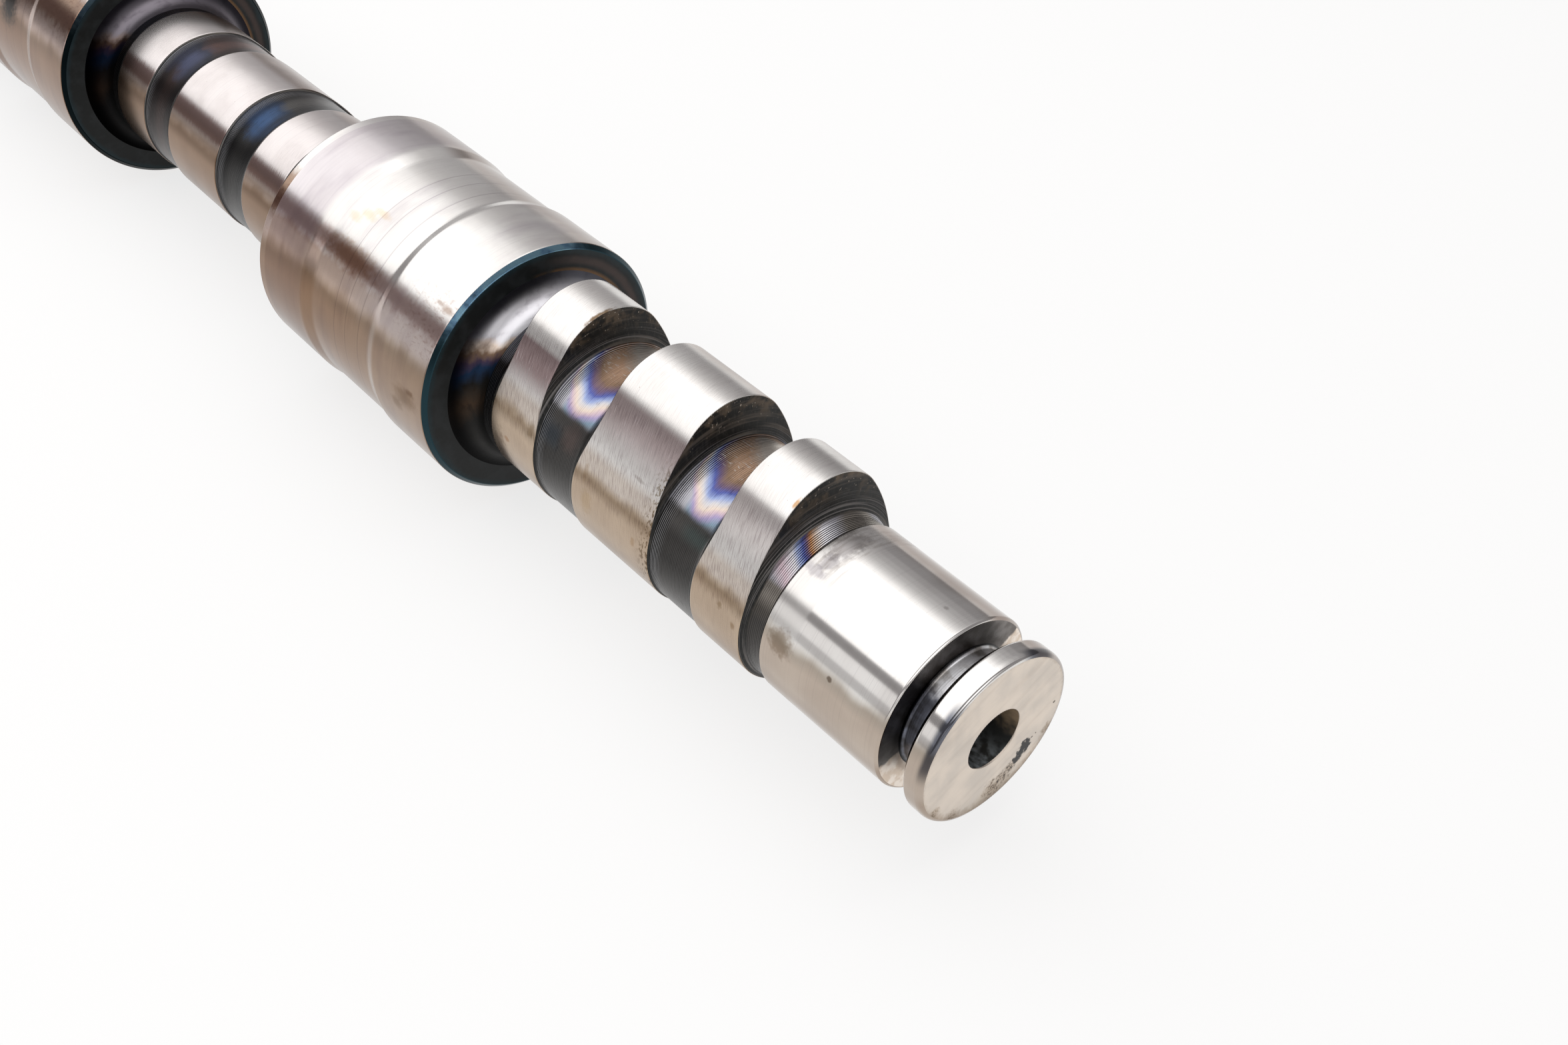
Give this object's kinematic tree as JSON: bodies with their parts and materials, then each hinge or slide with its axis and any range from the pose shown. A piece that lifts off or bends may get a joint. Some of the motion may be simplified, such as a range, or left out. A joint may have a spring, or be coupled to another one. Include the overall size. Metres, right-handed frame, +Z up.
{
  "type": "camshaft",
  "caption": "Steel camshaft with three lobes per cylinder between large ground bearing journals, a thrust collar at one end and a plain gear seat at the other.",
  "frame": {"origin": "centre of the end bore's mouth, in the thrust collar's outer face, on the shaft's axis", "axes": "+X along the shaft from the thrust collar towards the gear end, +Z up as the shaft lies on its journals"},
  "size_m": [0.5839, 0.0599, 0.06],
  "materials": {
    "steel": "ground bearing surfaces and lobes, dark heat-tinted necks"
  },
  "bodies": {
    "root": {"camshaft": "steel"}
  },
  "joints": []
}
